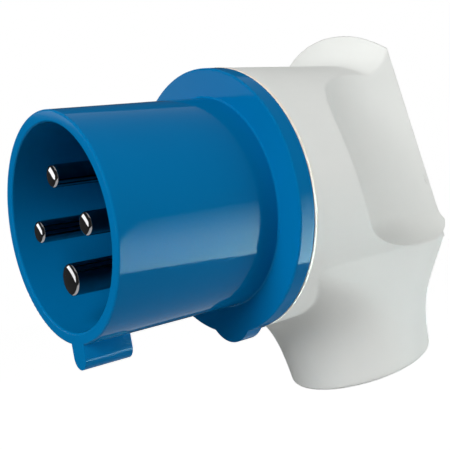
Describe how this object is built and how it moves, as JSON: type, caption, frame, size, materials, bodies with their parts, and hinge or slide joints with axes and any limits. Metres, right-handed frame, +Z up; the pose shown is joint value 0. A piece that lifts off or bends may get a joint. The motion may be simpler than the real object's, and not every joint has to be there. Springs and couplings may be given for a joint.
{
  "type": "angled industrial plug",
  "caption": "Angled industrial plug with a round blue pin shroud, a light grey housing with scooped grips and a cable outlet at its foot.",
  "frame": {"origin": "centre of the shroud's front rim", "axes": "+X along the plug's axis out of the open front, +Z up, away from the shroud's key and from the cable outlet, +Y to the left of someone who looks out along +X"},
  "size_m": [0.1, 0.0636, 0.0903],
  "materials": {
    "blue_plastic": "satin moulded",
    "grey_plastic": "fine matt texture",
    "cream_rubber": "matt",
    "carrier_plastic": "matt",
    "gland_plastic": "satin",
    "seal_rubber": "matt",
    "pin_metal": "nickel plated, polished",
    "screw_steel": "zinc plated"
  },
  "bodies": {
    "root": {"shroud": "blue_plastic", "flange_gasket": "cream_rubber", "contact_carrier": "carrier_plastic", "pin_retainer": "carrier_plastic", "phase_pin_1": "pin_metal", "phase_pin_2": "pin_metal", "phase_pin_3": "pin_metal", "earth_pin": "pin_metal", "phase_terminal_screw_1": "screw_steel", "phase_terminal_screw_2": "screw_steel", "phase_terminal_screw_3": "screw_steel", "earth_terminal_screw": "screw_steel", "carrier_screw_1": "screw_steel", "carrier_screw_2": "screw_steel", "housing": "grey_plastic", "gland_ring": "gland_plastic", "gland_washer": "gland_plastic", "cable_seal": "seal_rubber", "cord_clamp_saddle": "gland_plastic", "clamp_screw_1": "screw_steel", "clamp_screw_2": "screw_steel"}
  },
  "joints": []
}
